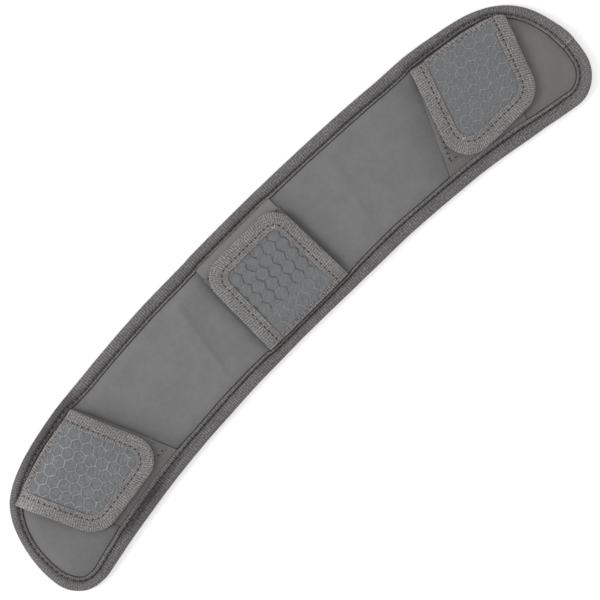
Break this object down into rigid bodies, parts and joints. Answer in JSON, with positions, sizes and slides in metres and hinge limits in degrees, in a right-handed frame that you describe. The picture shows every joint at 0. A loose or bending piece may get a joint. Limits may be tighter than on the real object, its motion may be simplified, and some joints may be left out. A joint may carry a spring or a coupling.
{
  "type": "padded belt cushion",
  "caption": "Long curved cushion worn under a belt or strap, bound with tape, with hook-and-loop flaps hinged on alternate edges that fold over the strap on its face.",
  "frame": {"origin": "under the middle of the pad's outline, on the surface that the pad's back lies on", "axes": "+X along the pad's chord, towards its right end with the face up and the convex edge away; +Y towards the convex edge; +Z out of the face, which carries the flaps"},
  "size_m": [0.4916, 0.1092, 0.0126],
  "materials": {
    "air_mesh": "black-grey knitted air mesh",
    "foam": "closed-cell foam",
    "face_fabric": "smooth grey laminated face fabric, soft sheen",
    "binding_tape": "ribbed grosgrain tape, matt",
    "flap_tape": "ribbed grosgrain tape, matt",
    "thread": "dark sewing thread",
    "panel_fabric": "plain woven lining",
    "ripstop": "coated ripstop with a raised hexagon grid",
    "loop": "fuzzy loop tape",
    "hook": "moulded hook tape"
  },
  "bodies": {
    "pad": {"back_mesh": "air_mesh", "foam_core": "foam", "face_cover": "face_fabric", "edge_binding": "binding_tape", "edge_thread_front": "thread", "edge_thread_back": "thread", "base_panel_left": "panel_fabric", "loop_patch_left": "loop", "loop_thread_left": "thread", "root_hem_left": "flap_tape", "root_thread_left": "thread", "base_panel_middle": "panel_fabric", "loop_patch_middle": "loop", "loop_thread_middle": "thread", "root_hem_middle": "flap_tape", "root_thread_middle": "thread", "base_panel_right": "panel_fabric", "loop_patch_right": "loop", "loop_thread_right": "thread", "root_hem_right": "flap_tape", "root_thread_right": "thread"},
    "flap_left": {"flap_shell_left": "ripstop", "flap_lining_left": "panel_fabric", "flap_binding_left": "flap_tape", "flap_thread_left": "thread", "hook_patch_left": "hook"},
    "flap_middle": {"flap_shell_middle": "ripstop", "flap_lining_middle": "panel_fabric", "flap_binding_middle": "flap_tape", "flap_thread_middle": "thread", "hook_patch_middle": "hook"},
    "flap_right": {"flap_shell_right": "ripstop", "flap_lining_right": "panel_fabric", "flap_binding_right": "flap_tape", "flap_thread_right": "thread", "hook_patch_right": "hook"}
  },
  "joints": [
    {"name": "flap_left_hinge", "type": "hinge", "parent": "pad", "child": "flap_left", "pos_m": [-0.19075, 0.02608, 0.0109], "axis": [-0.9632, -0.2687, 0], "range_deg": [0, 160]},
    {"name": "flap_middle_hinge", "type": "hinge", "parent": "pad", "child": "flap_middle", "pos_m": [-0.00315, -0.02143, 0.0109], "axis": [1, 0.0006, 0], "range_deg": [0, 160]},
    {"name": "flap_right_hinge", "type": "hinge", "parent": "pad", "child": "flap_right", "pos_m": [0.18692, 0.0269, 0.0109], "axis": [-0.9745, 0.2245, 0], "range_deg": [0, 160]}
  ]
}
